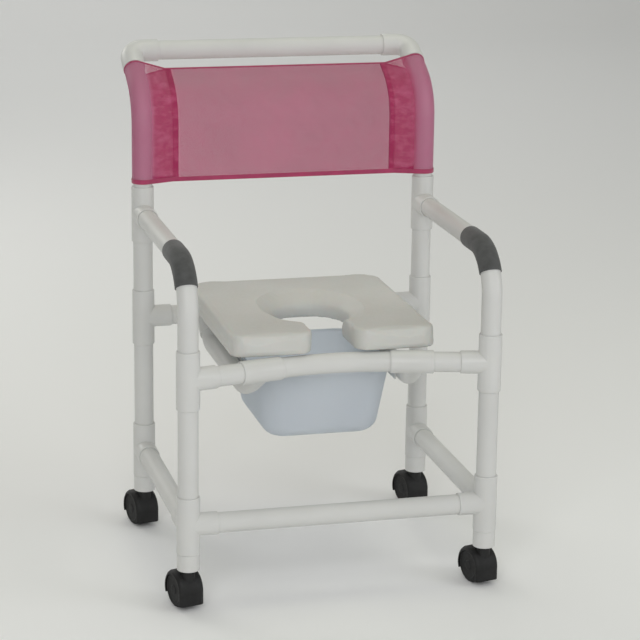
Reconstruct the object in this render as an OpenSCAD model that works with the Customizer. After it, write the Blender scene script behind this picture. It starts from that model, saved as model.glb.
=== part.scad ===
// Wheeled shower and commode chair: a frame of rigid PVC tube pushed into moulded
// socket fittings, a lift-up open-front seat, a slide-out pail and a mesh back.
// Millimetres. The front faces -Y, +Z is up and the floor is z = 0. Left (-X) and
// right (+X) are those of somebody who faces the front of the chair.

/* [Frame] */
// Distance between the left and right leg axes
leg_spacing = 634; // [610:1:660]
// Distance between the front and rear leg axes
frame_depth = 500; // [490:1:520]
// Height of the lower rail axes above the floor
lower_rail_z = 182; // [178:1:200]
// Height of the seat rail axes above the floor
seat_rail_z = 488; // [480:1:500]
// Height of the arm rest axes above the floor
arm_z = 719; // [712:1:722]
// Height at which the back posts start to bend backwards
back_bend_z = 911; // [900:1:920]

/* [Tube and fittings] */
// Outside diameter of the frame tube
tube_od = 42.2; // [41.6:0.1:42.4]
// Wall thickness of the frame tube
tube_wall = 3.6; // [3:0.1:4]
// Outside diameter of the moulded fittings
fitting_od = 48.5; // [48:0.1:49]
// Distance from the centre of a fitting to the end of a socket
fitting_reach = 61; // [59:1:62]
// Distance from the centre of a fitting to the stop inside a socket
socket_stop = 29; // [28:1:31]

/* [Bends] */
// Bend radius of the arm tube over the front leg
arm_bend_r = 95; // [90:1:100]
// Bend radius of the back posts
back_bend_r = 100; // [95:1:105]
// Angle through which the back posts lean back at the top
back_lean = 60; // [56:1:62]
// How far the top corners stand behind the rear leg axes
back_reach = 145; // [142:1:150]
// Angle of the front rail stubs towards the back
front_rail_angle = 13; // [11:1:14]

/* [Seat and pail] */
// Width of the seat
seat_w = 436; // [430:1:440]
// Thickness of the padded part of the seat
pad_h = 37; // [30:1:40]
// Thickness of the board under the pad
board_h = 9; // [7:1:10]
// Height of the pail under its flange
pail_h = 146; // [120:1:150]
// Angle of the pail's side walls from upright
pail_taper = 9; // [6:0.5:10]

/* [Casters] */
// Diameter of the caster wheels
wheel_d = 75; // [72:1:76]
// Distance from the swivel axis to the wheel axle
trail = 21; // [19:1:22]
// Angle of the casters, turned to the left seen from above
caster_turn = 14; // [0:1:20]

/* [Hidden] */
$fn = 64;
SIDES = [["left", -1], ["right", 1]];
ENDS = [["front", 0], ["rear", 1]];
fit_gap = 0.05;      // radial gap of a tube in a socket
slip_gap = 0.35;     // gap between parts that rest on each other and move
weld_reach = 0.5;    // how far a straight part reaches into the bend before it
weld_step = 0.05;    // how far its faces lie inside the faces of the bend
rim_h = 1.6;         // length of the chamfer round the mouth of a socket
rim_c = 0.9;         // its depth

leg_x = leg_spacing / 2;
front_y = -frame_depth / 2 - 72.5;
rear_y = front_y + frame_depth;
tube_r = tube_od / 2;
tube_id = tube_od - 2 * tube_wall;
socket_d = tube_od + 2 * fit_gap;
branch_step = 0.6;   // a branch is moulded this much slimmer than the run

// back posts: the straight part above the bend ends in the top elbow
lean_y = back_bend_r * (1 - cos(back_lean));
lean_z = back_bend_r * sin(back_lean);
lean_len = (back_reach - lean_y) / sin(back_lean);
top_y = rear_y + back_reach;
top_z = back_bend_z + lean_z + lean_len * cos(back_lean);
elbow_r = 28;

// front seat rail: straight stubs, angled tees and a bowed middle tube
rail_tee_x = 160;
rail_tee_reach = 45;
rail_tee_run = (leg_x - rail_tee_x) / cos(front_rail_angle);
rail_tee_y = front_y + rail_tee_run * sin(front_rail_angle);
bow_half = rail_tee_x - rail_tee_reach * cos(front_rail_angle);
bow_r = bow_half / sin(front_rail_angle);

// pail rails: they drop from the rail tees and run level under the seat
pail_rail_drop = 50;
drop_bend_r = 60;
tee_tilt = 36;
front_drop_angle = acos(cos(front_rail_angle) * cos(tee_tilt));
front_drop_lean = asin(tan(front_rail_angle) / tan(front_drop_angle));
pail_rail_x = rail_tee_x + pail_rail_drop * tan(front_drop_lean);
pail_rail_z = seat_rail_z - pail_rail_drop;

// seat: an open-front U that hinges on the rear rail
seat_front_y = -277.5;
seat_rear_y = rear_y + 13;
seat_bottom_z = seat_rail_z + fitting_od / 2 + slip_gap;
hole_rear_y = 29.5;
hole_mid_y = -67.5;
hole_half = 82;
gap_half = 44;
board_inset = 8;
clip_x = 80;
clip_w = 30;

// pail and its runners
runner_h = 26;
runner_t = 3;
runner_ledge = 8;
runner_x = pail_rail_x - tube_r - 0.1;
runner_top_z = pail_rail_z + 12;
runner_front_y = -195;
runner_rear_y = 125;
runner_screw_y = [-170, -45, 60];
pail_y = -52;
flange_t = 3;
pail_wall = 3;
pail_flange = [151, 166];
pail_body = [145, 160];
pail_flange_z = runner_top_z + slip_gap;

// grips
grip_od = 46.8;
grip_start = 32;
grip_straight = 55;

// mesh back: a flat sleeve round each post, with a seam inboard of it
sling_z = 788;
sling_t = 2.4;
sleeve_inner_r = tube_r + 0.6;
seam_reach = 73;
sling_end = lean_len - fitting_reach - 2;

// casters
caster_z = 86;
bushing_od = 46.8;
bushing_bottom_z = caster_z;
fitting_bottom_z = lower_rail_z - fitting_reach;
stem_r = 5.5;
journal_r = 4;
journal_l = 13;
wheel_in = 5.8;
wheel_w = 18.7;
hood_gap = 1.2;
hood_t = 2.8;
hood_w = 54;
hood_front_z = 12;
web_w = 10;
axle_r = 4;

function arc(c, r, a0, a1, n) =
    [for (i = [0:n]) let (a = a0 + (a1 - a0) * i / n) [c[0] + r * cos(a), c[1] + r * sin(a)]];
function mirrored(points) = [for (i = [len(points) - 1:-1:0]) [-points[i][0], points[i][1]]];
function named(stem, list) = [for (s = list) str(stem, "_", s[0])];
function corners(stem) = [for (e = ENDS) for (s = SIDES) str(stem, "_", e[0], "_", s[0])];
function end_y(e) = e[1] == 0 ? front_y : rear_y;

// Mirrors a shape made for the right side when the left one is wanted
module on_side(side) if (side < 0) mirror([1, 0, 0]) children(); else children();
module ring(od, id) difference() { circle(d = od); circle(d = id); }
module tube_section() ring(tube_od, tube_id);

// A bend that starts upright at the origin and turns towards +Y
module bend(r, angle, start = 0)
    translate([0, r, 0]) rotate([90, 0, -90]) rotate_extrude(angle = angle, start = start)
        translate([r, 0]) mirror([1, 0]) rotate(-90) children();
// The place and direction that a bend has reached after an angle
module along_bend(r, angle)
    translate([0, r, 0]) rotate([-angle, 0, 0]) translate([0, -r, 0]) children();
// A straight tube that goes on from a bend: it reaches a little way into the bend and
// is a hair thinner than the bend's wall, so that the two make one solid
module tube_after_bend(z1, z0 = -weld_reach) translate([0, 0, z0]) linear_extrude(z1 - z0)
    ring(tube_od - 2 * weld_step, tube_id + 2 * weld_step);

// Outside of one socket of a fitting, with a chamfered mouth
module socket_outside(od, reach = fitting_reach) {
    cylinder(d = od, h = reach - rim_h);
    translate([0, 0, reach - rim_h]) cylinder(d1 = od, d2 = od - 2 * rim_c, h = rim_h);
}
// A fitting: the run lies along Z, and each branch is given as a rotation
module fitting(branches, run_reach = fitting_reach) {
    difference() {
        union() {
            for (end = [0, 180]) rotate([end, 0, 0]) socket_outside(fitting_od, run_reach);
            for (i = [0:len(branches) - 1]) rotate(branches[i])
                socket_outside(fitting_od - branch_step * (i + 1));
        }
        translate([0, 0, -fitting_reach - 1]) cylinder(d = tube_id, h = 2 * fitting_reach + 2);
        for (end = [0, 180]) rotate([end, 0, 0])
            translate([0, 0, socket_stop]) cylinder(d = socket_d, h = fitting_reach);
        for (i = [0:len(branches) - 1]) rotate(branches[i]) {
            cylinder(d = tube_id - branch_step * (i + 1), h = fitting_reach + 1);
            translate([0, 0, socket_stop]) cylinder(d = socket_d, h = fitting_reach);
        }
    }
}
TO_REAR = [-90, 0, 0];
TO_RIGHT = [0, 90, 0];
module tee() fitting([TO_REAR]);

// Tube and stub between two points on one level, along X or Y
module tube_x(x0, x1) translate([x0, 0, 0]) rotate([0, 90, 0]) linear_extrude(x1 - x0) tube_section();
module tube_y(y0, y1) translate([0, y0, 0]) rotate([-90, 0, 0]) linear_extrude(y1 - y0) tube_section();
module tube_z(z0, z1) translate([0, 0, z0]) linear_extrude(z1 - z0) tube_section();

// ---- frame tubes ----
module arm_tube(side) color([0.80, 0.80, 0.76]) translate([side * leg_x, front_y, 0]) {
    tube_z(seat_rail_z + socket_stop, arm_z - arm_bend_r);
    translate([0, 0, arm_z - arm_bend_r]) bend(arm_bend_r, 90) tube_section();
    translate([0, 0, arm_z]) tube_y(arm_bend_r, frame_depth - socket_stop);
}
module lower_leg(side, y) color([0.80, 0.80, 0.76]) translate([side * leg_x, y, 0])
    tube_z(lower_rail_z + socket_stop, seat_rail_z - socket_stop);
module rear_mid_posts() color([0.80, 0.80, 0.76]) for (s = SIDES)
    translate([s[1] * leg_x, rear_y, 0]) tube_z(seat_rail_z + socket_stop, arm_z - socket_stop);
module back_post(side) color([0.80, 0.80, 0.76]) translate([side * leg_x, rear_y, 0]) {
    tube_z(arm_z + socket_stop, back_bend_z);
    translate([0, 0, back_bend_z]) {
        bend(back_bend_r, back_lean) tube_section();
        along_bend(back_bend_r, back_lean) tube_after_bend(lean_len - socket_stop);
    }
}
module push_bar() color([0.80, 0.80, 0.76]) translate([0, top_y, top_z])
    tube_x(-leg_x + socket_stop, leg_x - socket_stop);
module front_lower_rail() color([0.80, 0.80, 0.76]) translate([0, front_y, lower_rail_z])
    tube_x(-leg_x + socket_stop, leg_x - socket_stop);
module side_lower_rail(side) color([0.80, 0.80, 0.76]) translate([side * leg_x, 0, lower_rail_z])
    tube_y(front_y + socket_stop, rear_y - socket_stop);
module rear_seat_rail() color([0.80, 0.80, 0.76]) translate([0, rear_y, seat_rail_z])
    tube_x(-pail_rail_x + socket_stop, pail_rail_x - socket_stop);

// Middle of the front rail: an arc with a straight end for each tee
module front_seat_rail() color([0.80, 0.80, 0.76])
    translate([-rail_tee_x, rail_tee_y, seat_rail_z]) rotate([0, 0, front_rail_angle - 90])
    rotate([-90, 0, 0]) rotate([0, 0, 90]) {
        tube_z(socket_stop, rail_tee_reach);
        translate([0, 0, rail_tee_reach]) {
            mirror([0, 1, 0]) bend(bow_r, 2 * front_rail_angle) tube_section();
            mirror([0, 1, 0]) along_bend(bow_r, 2 * front_rail_angle)
                tube_after_bend(rail_tee_reach - socket_stop);
        }
    }

// Short tubes between the leg tees and the rail tees
module seat_rail_stubs() color([0.80, 0.80, 0.76]) for (s = SIDES) {
    translate([s[1] * leg_x, front_y, seat_rail_z])
        rotate([0, 0, s[1] * (90 - front_rail_angle)])
        tube_y(socket_stop, rail_tee_run - socket_stop);
    translate([s[1] * leg_x, rear_y, seat_rail_z]) rotate([0, 0, s[1] * 90])
        tube_y(socket_stop, leg_x - pail_rail_x - socket_stop);
}

// One end of a pail rail: down from a tee at the origin, then level towards +Y
function drop_start(angle, drop) = (drop - drop_bend_r * (1 - cos(angle))) / sin(angle);
function drop_length(angle, drop) =
    drop_start(angle, drop) * cos(angle) + drop_bend_r * sin(angle);
module pail_rail_end(angle, drop) rotate([-90 - angle, 0, 0]) rotate([0, 0, 180]) {
    tube_z(socket_stop, drop_start(angle, drop));
    translate([0, 0, drop_start(angle, drop)]) bend(drop_bend_r, angle) tube_section();
}
front_drop = pail_rail_drop / cos(front_drop_lean);
level_front_y = rail_tee_y + drop_length(front_drop_angle, front_drop);
level_rear_y = rear_y - drop_length(tee_tilt, pail_rail_drop);
module pail_rail(side) color([0.80, 0.80, 0.76]) difference() {
    union() {
        translate([side * rail_tee_x, rail_tee_y, seat_rail_z])
            rotate([0, -side * front_drop_lean, 0]) pail_rail_end(front_drop_angle, front_drop);
        translate([side * pail_rail_x, level_front_y, pail_rail_z]) rotate([-90, 0, 0])
            tube_after_bend(level_rear_y - level_front_y + weld_reach);
        translate([side * pail_rail_x, rear_y, seat_rail_z]) mirror([0, 1, 0])
            pail_rail_end(tee_tilt, pail_rail_drop);
    }
    for (y = runner_screw_y) translate([side * pail_rail_x, y, pail_rail_z])
        rotate([0, -side * 90, 0]) cylinder(r = 2.2, h = tube_od);
}

// ---- fittings ----
module arm_tee(side) color([0.78, 0.78, 0.76]) translate([side * leg_x, rear_y, arm_z])
    rotate([0, 0, 180]) tee();
module front_seat_tee(side) color([0.78, 0.78, 0.76]) translate([side * leg_x, front_y, seat_rail_z])
    rotate([0, 0, side * (90 - front_rail_angle)]) tee();
module rear_seat_tee(side) color([0.78, 0.78, 0.76]) translate([side * leg_x, rear_y, seat_rail_z])
    rotate([0, 0, side * 90]) tee();
module front_rail_tees() color([0.78, 0.78, 0.76]) for (s = SIDES)
    translate([s[1] * rail_tee_x, rail_tee_y, seat_rail_z])
        rotate([-tee_tilt, 0, -s[1] * front_rail_angle]) rotate([0, 90, 0])
            fitting([TO_REAR], rail_tee_reach);
module rear_rail_tees() color([0.78, 0.78, 0.76]) for (s = SIDES)
    translate([s[1] * pail_rail_x, rear_y, seat_rail_z])
        rotate([180 + tee_tilt, 0, 0]) rotate([0, 90, 0]) tee();
module front_lower_fitting(side) color([0.78, 0.78, 0.76])
    translate([side * leg_x, front_y, lower_rail_z]) fitting([TO_REAR, -side * TO_RIGHT]);
module rear_lower_fitting(side) color([0.78, 0.78, 0.76])
    translate([side * leg_x, rear_y, lower_rail_z]) rotate([0, 0, 180]) tee();

// Elbow from the leaning post to the push bar: a tight bend with a socket on each arm
module elbow_arm() {
    translate([0, 0, elbow_r]) linear_extrude(socket_stop - elbow_r) ring(fitting_od, tube_id);
    translate([0, 0, socket_stop]) linear_extrude(fitting_reach - socket_stop)
        ring(fitting_od, socket_d);
}
module push_bar_elbows() color([0.78, 0.78, 0.76]) for (s = SIDES)
    translate([s[1] * leg_x, top_y, top_z]) rotate([-back_lean, 0, 0]) {
        rotate([180, 0, 0]) elbow_arm();
        rotate([0, -s[1] * 90, 0]) elbow_arm();
        translate([0, 0, -elbow_r]) rotate([0, 0, s[1] * 90]) bend(elbow_r, 90)
            ring(fitting_od, tube_id);
    }

// ---- grips and mesh back ----
module grip(side) color([0.32, 0.33, 0.33])
    translate([side * leg_x, front_y, arm_z - arm_bend_r]) {
        bend(arm_bend_r, 90 - grip_start, grip_start) ring(grip_od, socket_d);
        translate([0, arm_bend_r, arm_bend_r]) rotate([-90, 0, 0])
            linear_extrude(grip_straight) ring(grip_od, socket_d);
    }

// Drop-shaped outline: round the post on the outside, to a point at the seam
function drop_outline(r, reach) = let (a = acos(r / reach))
    concat([[-reach, 0]], arc([0, 0], r, a - 180, 180 - a, 24));
module sling_section(inset = 0) {
    r_out = sleeve_inner_r + sling_t - inset;
    r_in = sleeve_inner_r + inset;
    for (s = SIDES) translate([s[1] * leg_x, 0]) on_side(s[1]) difference() {
        polygon(drop_outline(r_out, seam_reach - 2 * inset));
        polygon(drop_outline(r_in, seam_reach * r_in / (sleeve_inner_r + sling_t)));
    }
    square([2 * (leg_x - seam_reach) + 4, sling_t - 2 * inset], center = true);
}
module mesh_back() color([0.66, 0.44, 0.52]) translate([0, rear_y, 0]) {
    translate([0, 0, sling_z]) linear_extrude(back_bend_z - sling_z) sling_section();
    translate([0, 0, back_bend_z]) {
        bend(back_bend_r, back_lean) sling_section();
        along_bend(back_bend_r, back_lean) translate([0, 0, -weld_reach])
            linear_extrude(sling_end + weld_reach) sling_section(weld_step);
    }
}

// ---- seat ----
seat_half = seat_w / 2;
seat_rear_r = 48;
seat_front_r = 30;
lobe_r = 32;
hole_neck_y = -165;
// Right half of the seat's outline, drawn in by an amount all round
function half_seat(inset) = concat(
    [for (i = [0:12]) let (a = 90 - 90 * i / 12)
        [(hole_half + inset) * cos(a), hole_mid_y + (hole_rear_y + inset - hole_mid_y) * sin(a)]],
    [for (i = [1:8]) let (t = i / 8)
        [(hole_half + gap_half) / 2 + inset + (hole_half - gap_half) / 2 * cos(180 * t),
         hole_mid_y + (hole_neck_y - hole_mid_y) * t]],
    arc([gap_half + lobe_r, seat_front_y + lobe_r], lobe_r - inset, 180, 270, 8),
    arc([seat_half - seat_front_r, seat_front_y + seat_front_r], seat_front_r - inset, 270, 360, 8),
    arc([seat_half - seat_rear_r, seat_rear_y - seat_rear_r], seat_rear_r - inset, 0, 90, 8));
module seat_outline(inset = 0) {
    half = half_seat(inset);
    polygon(concat(half, mirrored([for (i = [1:len(half) - 1]) half[i]])));
}
// The pad wraps down over the edge of the board
module seat_pad() color([0.80, 0.80, 0.74]) difference() {
    translate([0, 0, seat_bottom_z + 1]) linear_extrude(board_h + pad_h - 1) seat_outline();
    translate([0, 0, seat_bottom_z - 1]) linear_extrude(board_h + 1) seat_outline(board_inset - 0.2);
}

clip_plate_t = 4;
clip_screw_y = rear_y - 33;
clip_screw_dx = 8;
module clip_screw_places() for (s = SIDES) for (dx = [-clip_screw_dx, clip_screw_dx])
    translate([s[1] * clip_x + dx, clip_screw_y, seat_bottom_z]) children();
module seat_board() color([0.72, 0.72, 0.68]) difference() {
    translate([0, 0, seat_bottom_z]) linear_extrude(board_h) seat_outline(board_inset);
    clip_screw_places() translate([0, 0, -1]) cylinder(r = 2.2, h = board_h - 0.5);
}

// Snap clips under the back of the seat, open towards the floor
module hinge_clips() color([0.86, 0.86, 0.84]) difference() {
    for (s = SIDES) translate([s[1] * clip_x - clip_w / 2, rear_y, 0]) difference() {
        union() {
            translate([0, -42, seat_bottom_z - clip_plate_t]) cube([clip_w, 54, clip_plate_t]);
            difference() {
                translate([0, 0, seat_rail_z]) rotate([0, 90, 0]) cylinder(r = tube_r + 4.2, h = clip_w);
                translate([-1, -50, seat_bottom_z - 0.01]) cube([clip_w + 2, 100, 50]);
            }
        }
        translate([-1, 0, seat_rail_z]) rotate([0, 90, 0]) cylinder(r = tube_r + fit_gap, h = clip_w + 2);
        translate([-1, -50, seat_rail_z - 60]) cube([clip_w + 2, 100, 50]);
    }
    clip_screw_places() translate([0, 0, -20]) cylinder(r = 2.2, h = 40);
}
// A pan head screw along +Z whose head, with its cross recess, lies below the origin
module screw(shank_l) difference() {
    union() {
        translate([0, 0, -3]) cylinder(r1 = 3.2, r2 = 4.4, h = 1.2);
        translate([0, 0, -1.8]) cylinder(r = 4.4, h = 1.8);
        cylinder(r = 2.1, h = shank_l);
    }
    for (a = [0, 90]) rotate([0, 0, a]) translate([-0.6, -2.2, -3.2]) cube([1.2, 4.4, 1.8]);
}
module hinge_screws() color([0.75, 0.75, 0.77]) clip_screw_places()
    translate([0, 0, -clip_plate_t]) screw(clip_plate_t + board_h - 3);

// ---- pail ----
module pail_runners() color([0.88, 0.88, 0.87]) difference() {
    for (s = SIDES) on_side(s[1]) translate([runner_x, runner_front_y, 0]) {
        length = runner_rear_y - runner_front_y;
        translate([-runner_t, 0, runner_top_z - runner_h]) cube([runner_t, length, runner_h]);
        translate([-runner_ledge, 0, runner_top_z - runner_t]) cube([runner_ledge, length, runner_t]);
    }
    runner_screw_places() translate([0, 0, -runner_ledge]) cylinder(r = 2.2, h = 2 * runner_ledge);
}
module runner_screw_places() for (s = SIDES) for (y = runner_screw_y)
    on_side(s[1]) translate([runner_x - runner_t, y, pail_rail_z]) rotate([0, 90, 0]) children();
module runner_screws() color([0.75, 0.75, 0.77]) runner_screw_places() screw(runner_t + tube_wall + 5);

// A closed skin through level rings, each [z, half width, half length, corner radius]
RING_STEPS = 6;
function ring_points(r) = [for (q = [0:3]) for (i = [0:RING_STEPS])
    let (a = 90 * (q + i / RING_STEPS), sx = q == 0 || q == 3 ? 1 : -1, sy = q < 2 ? 1 : -1)
    [sx * (r[1] - r[3]) + r[3] * cos(a), sy * (r[2] - r[3]) + r[3] * sin(a), r[0]]];
module loft(rings) {
    n = 4 * (RING_STEPS + 1);
    points = [for (r = rings) for (p = ring_points(r)) p];
    sides = [for (k = [0:len(rings) - 2]) for (i = [0:n - 1]) let (j = (i + 1) % n)
        [k * n + i, (k + 1) * n + i, (k + 1) * n + j, k * n + j]];
    polyhedron(points, concat([[for (i = [0:n - 1]) i]], sides,
        [[for (i = [n - 1:-1:0]) (len(rings) - 1) * n + i]]));
}
// Rings of the pail's wall, from the rounded bottom to the top; t is taken off all round
function pail_rings(t, top) = let (bottom_r = 26, floor_z = -pail_h + t, r = bottom_r - t)
    concat([for (i = [0:4]) let (a = 90 * i / 4, z = floor_z + r * (1 - cos(a)))
        [z, pail_body[0] + z * tan(pail_taper) - t - r * (1 - sin(a)),
            pail_body[1] + z * tan(pail_taper) - t - r * (1 - sin(a)),
            (46 - t) - r * (1 - sin(a)) * 0.8]],
        [[top, pail_body[0] + top * tan(pail_taper) - t, pail_body[1] + top * tan(pail_taper) - t, 50 - t]]);
module pail() color([0.80, 0.83, 0.88, 0.8]) translate([0, pail_y, pail_flange_z]) difference() {
    union() {
        loft(pail_rings(0, 0.5));
        loft([[0, pail_flange[0], pail_flange[1], 58], [flange_t, pail_flange[0], pail_flange[1], 58]]);
    }
    loft(pail_rings(pail_wall, flange_t + 2));
}

// ---- casters ----
module at_leg(side, y) translate([side * leg_x, y, 0]) children();
module each_leg() for (e = ENDS) for (s = SIDES) at_leg(s[1], end_y(e)) children();
module at_caster(e, s) at_leg(s[1], end_y(e)) rotate([0, 0, caster_turn]) children();
module caster_bushings() color([0.78, 0.78, 0.76]) each_leg() difference() {
    union() {
        translate([0, 0, bushing_bottom_z])
            cylinder(d = bushing_od, h = fitting_bottom_z - bushing_bottom_z);
        translate([0, 0, bushing_bottom_z]) cylinder(d = tube_od, h = 60);
    }
    translate([0, 0, bushing_bottom_z - 1]) cylinder(r = stem_r + 0.02, h = 50);
}
module caster_stems() color([0.70, 0.71, 0.72]) each_leg() {
    translate([0, 0, caster_z - 3]) cylinder(r = 12, h = 3);
    translate([0, 0, caster_z]) cylinder(r = stem_r, h = 45);
    translate([0, 0, caster_z - 3 - journal_l]) cylinder(r = journal_r, h = journal_l);
}
axle_z = wheel_d / 2;
wheel_out = wheel_in + wheel_w;
hood_r = wheel_d / 2 + hood_gap + hood_t;
hood_top_z = caster_z - 3 - 0.3;
hood_rear_angle = -25;
neck_r = 14;
neck_h = 27;
// Half of the cover's section as [radius, distance from the middle]: crown, shoulder and lip.
// The inset makes it a hair thinner all round.
function hood_edge(inset) = [[hood_r - inset, hood_w / 2 - 7],
    [hood_r - 2 - inset, hood_w / 2 - 3 - inset], [hood_r - 6, hood_w / 2 - inset],
    [hood_r - 9 + inset, hood_w / 2 - inset], [hood_r - 9 + inset, hood_w / 2 - 2 + inset],
    [hood_r - 6.5, hood_w / 2 - 2 + inset], [hood_r - 4.2, hood_w / 2 - 4.5 + inset],
    [hood_r - hood_t + inset, hood_w / 2 - 8.5]];
module hood_section(inset = 0) {
    edge = hood_edge(inset);
    polygon(concat(edge, [for (i = [len(edge) - 1:-1:0]) [edge[i][0], -edge[i][1]]]));
}
// Turns a profile of [radius, distance along the axle] about the axle, from the rear over the top
module round_axle(from, angle) translate([0, trail, axle_z]) rotate([90, 0, 90])
    rotate([0, 0, from]) rotate_extrude(angle = angle) children();
module caster_hood() color([0.17, 0.17, 0.17]) difference() {
    union() {
        // web between the wheels
        translate([-web_w / 2, trail, axle_z]) rotate([0, 90, 0]) cylinder(r = 24, h = web_w);
        translate([-web_w / 2, -9, 40]) cube([web_w, trail + 9, 37]);
        // cover over both wheels, with a straight front
        round_axle(hood_rear_angle, 180 - hood_rear_angle) hood_section();
        translate([0, trail, hood_front_z]) rotate([0, 0, -90])
            linear_extrude(axle_z - hood_front_z + weld_reach) hood_section(weld_step);
        // neck round the stem
        translate([0, 0, hood_top_z - neck_h]) cylinder(r = neck_r, h = neck_h);
    }
    translate([0, 0, hood_top_z - journal_l - 1]) cylinder(r = journal_r + fit_gap, h = journal_l + 2);
    translate([-web_w, trail, axle_z]) rotate([0, 90, 0]) cylinder(r = axle_r + 0.01, h = 2 * web_w);
    for (m = [0, 1]) mirror([m, 0, 0]) wheel_space();
}
// Room that a wheel needs inside the hood
module wheel_space() round_axle(0, 360) polygon([[0, web_w / 2], [hood_r - hood_t - 0.3, web_w / 2],
    [hood_r - hood_t - 0.3, hood_w / 2 - 8.5], [hood_r - 4.5, hood_w / 2 - 4.7],
    [hood_r - 6.8, hood_w / 2 - 2.2], [0, hood_w / 2 - 2.2]]);
module caster_axle() color([0.70, 0.71, 0.72]) translate([2 - wheel_out, trail, axle_z])
    rotate([0, 90, 0]) cylinder(r = axle_r, h = 2 * (wheel_out - 2));
tyre_r = wheel_d / 2;
module wheel(side) color([0.20, 0.20, 0.20]) translate([0, trail, axle_z]) rotate([0, side * 90, 0])
    rotate_extrude() polygon([[axle_r + 0.06, wheel_in], [10, wheel_in], [10, wheel_in + 4],
        [27, wheel_in + 4], [29, wheel_in + 0.5], [tyre_r - 2, wheel_in + 0.5],
        [tyre_r, wheel_in + 2.5], [tyre_r, wheel_out - 7], [tyre_r - 2, wheel_out - 3],
        [tyre_r - 6, wheel_out], [29, wheel_out], [27, wheel_out - 1.5],
        [11, wheel_out - 1.5], [9, wheel_out], [0, wheel_out],
        [0, wheel_out - 1.5], [axle_r + 0.06, wheel_out - 1.5]]);

for (s = SIDES) {
    arm_tube(s[1]);
    lower_leg(s[1], front_y);
    lower_leg(s[1], rear_y);
    back_post(s[1]);
    arm_tee(s[1]);
    front_seat_tee(s[1]);
    rear_seat_tee(s[1]);
    pail_rail(s[1]);
    front_lower_fitting(s[1]);
    rear_lower_fitting(s[1]);
    side_lower_rail(s[1]);
    grip(s[1]);
}
rear_mid_posts();
push_bar();
push_bar_elbows();
seat_rail_stubs();
front_seat_rail();
rear_seat_rail();
front_rail_tees();
rear_rail_tees();
front_lower_rail();
mesh_back();
seat_pad();
seat_board();
hinge_clips();
hinge_screws();
pail();
pail_runners();
runner_screws();
caster_bushings();
caster_stems();
for (e = ENDS) for (s = SIDES) {
    corner = str("_", e[0], "_", s[0]);
    at_caster(e, s) caster_hood();
    at_caster(e, s) caster_axle();
    at_caster(e, s) wheel(-s[1]);
    at_caster(e, s) wheel(s[1]);
}
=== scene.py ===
"""A wheeled shower and commode chair: its looks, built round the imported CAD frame. Metres."""
import math

import bmesh
import bpy
import numpy as np
from mathutils import Matrix, Vector, noise


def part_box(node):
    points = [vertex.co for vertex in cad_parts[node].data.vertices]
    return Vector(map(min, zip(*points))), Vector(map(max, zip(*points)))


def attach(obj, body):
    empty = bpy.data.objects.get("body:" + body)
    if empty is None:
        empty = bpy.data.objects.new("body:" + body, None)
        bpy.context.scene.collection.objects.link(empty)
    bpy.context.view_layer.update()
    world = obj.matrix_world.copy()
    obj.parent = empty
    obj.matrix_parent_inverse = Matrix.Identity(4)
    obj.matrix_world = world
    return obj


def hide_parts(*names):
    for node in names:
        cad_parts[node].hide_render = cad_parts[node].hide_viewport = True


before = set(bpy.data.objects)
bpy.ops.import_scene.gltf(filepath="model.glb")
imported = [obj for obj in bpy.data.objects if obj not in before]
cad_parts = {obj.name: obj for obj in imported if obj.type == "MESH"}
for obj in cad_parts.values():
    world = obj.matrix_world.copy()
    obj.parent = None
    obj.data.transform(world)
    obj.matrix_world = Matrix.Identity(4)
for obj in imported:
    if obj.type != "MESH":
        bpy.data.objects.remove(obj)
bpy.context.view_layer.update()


def middle(node):
    """Centre of a CAD node's box."""
    low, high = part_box(node)
    return (low + high) / 2


# ---- places and sizes taken from the frame ----
TUBE_R = (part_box("push_bar")[1].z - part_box("push_bar")[0].z) / 2
LEG_X = middle("front_lower_leg_right").x
REAR_Y = middle("rear_lower_leg_right").y
SIDES = (("left", -1), ("right", 1))
CORNERS = [f"{end}_{side}" for end in ("front", "rear") for side, _ in SIDES]


# ---- camera, lights and floor ----
CAMERA_TARGET, CAMERA_DISTANCE = (0.019, -0.0725, 0.5275), 4.865
AZIMUTH, ELEVATION, ROLL = -14.7, 15.255, 0.815   # degrees
LENS, SENSOR = 128.55, 36                         # mm
FLOOR_HALF, FLOOR_AHEAD = 9.0, 16.0   # depth of the floor behind and in front of the chair
SWEEP_R, SWEEP_TOP, SWEEP_STEPS = 1.6, 6.0, 12


def make_camera():
    """A low view from the front and a little to the left."""
    azimuth, elevation, roll = (math.radians(a) for a in (AZIMUTH, ELEVATION, ROLL))
    back = Vector((math.sin(azimuth) * math.cos(elevation), -math.cos(azimuth) * math.cos(elevation),
                   math.sin(elevation)))
    right = Vector((math.cos(azimuth), math.sin(azimuth), 0))
    up = back.cross(right)
    rolled_right = right * math.cos(roll) + up * math.sin(roll)
    rolled_up = up * math.cos(roll) - right * math.sin(roll)
    data = bpy.data.cameras.new("camera")
    data.lens, data.sensor_width = LENS, SENSOR
    data.clip_start, data.clip_end = 0.1, 60
    camera = bpy.data.objects.new("camera", data)
    bpy.context.scene.collection.objects.link(camera)
    turn = Matrix((rolled_right, rolled_up, back)).transposed().to_4x4()
    place = Vector(CAMERA_TARGET) + back * CAMERA_DISTANCE
    camera.matrix_world = Matrix.Translation(place) @ turn
    bpy.context.scene.camera = camera


def area_light(name, place, aim, size, power, colour):
    """A round lamp at a place, turned to a point."""
    data = bpy.data.lights.new(name, "AREA")
    data.shape, data.size, data.energy, data.color = "DISK", size, power, colour
    light = bpy.data.objects.new(name, data)
    light.location = place
    light.rotation_euler = (Vector(aim) - Vector(place)).to_track_quat("-Z", "Y").to_euler()
    bpy.context.scene.collection.objects.link(light)


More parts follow.
